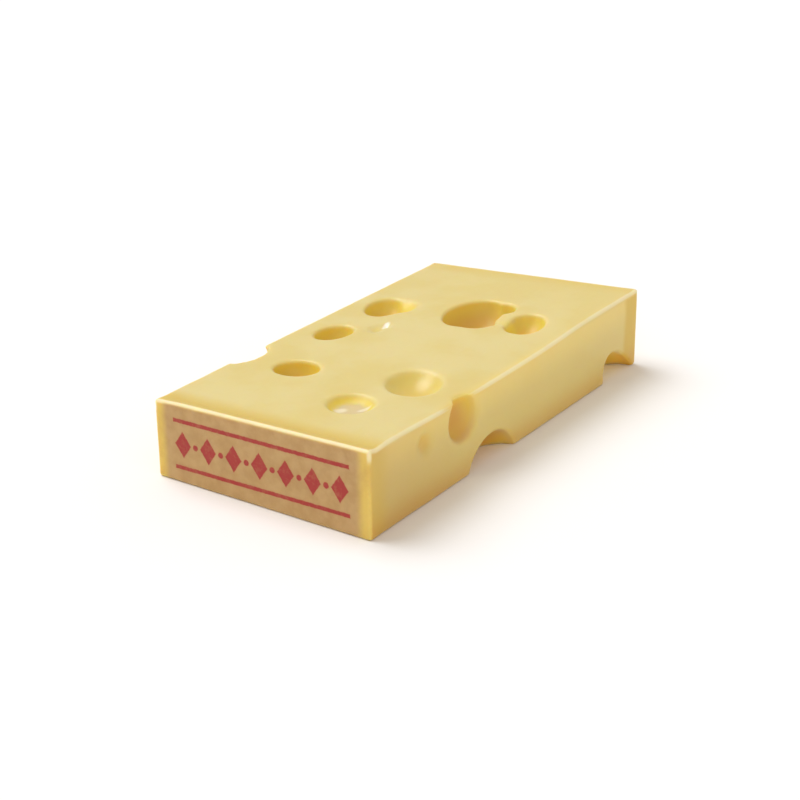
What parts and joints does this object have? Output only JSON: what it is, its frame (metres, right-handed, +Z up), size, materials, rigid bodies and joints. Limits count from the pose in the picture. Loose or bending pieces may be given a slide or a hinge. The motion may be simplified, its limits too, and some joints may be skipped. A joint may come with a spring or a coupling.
{
  "type": "block of emmental cheese",
  "caption": "Flat block of pale yellow emmental cut through a wheel, with round eyes on its cut faces and edges and stamped rind at its ends.",
  "frame": {"origin": "middle of the block's box, on the underside that it rests on", "axes": "+Y from the printed rind end to the plain rind end, +Z up through the thickness, +X towards the thicker side"},
  "size_m": [0.09, 0.1829, 0.0316],
  "materials": {
    "paste": "waxy satin, pale yellow"
  },
  "bodies": {
    "root": {"cheese": "paste"}
  },
  "joints": []
}
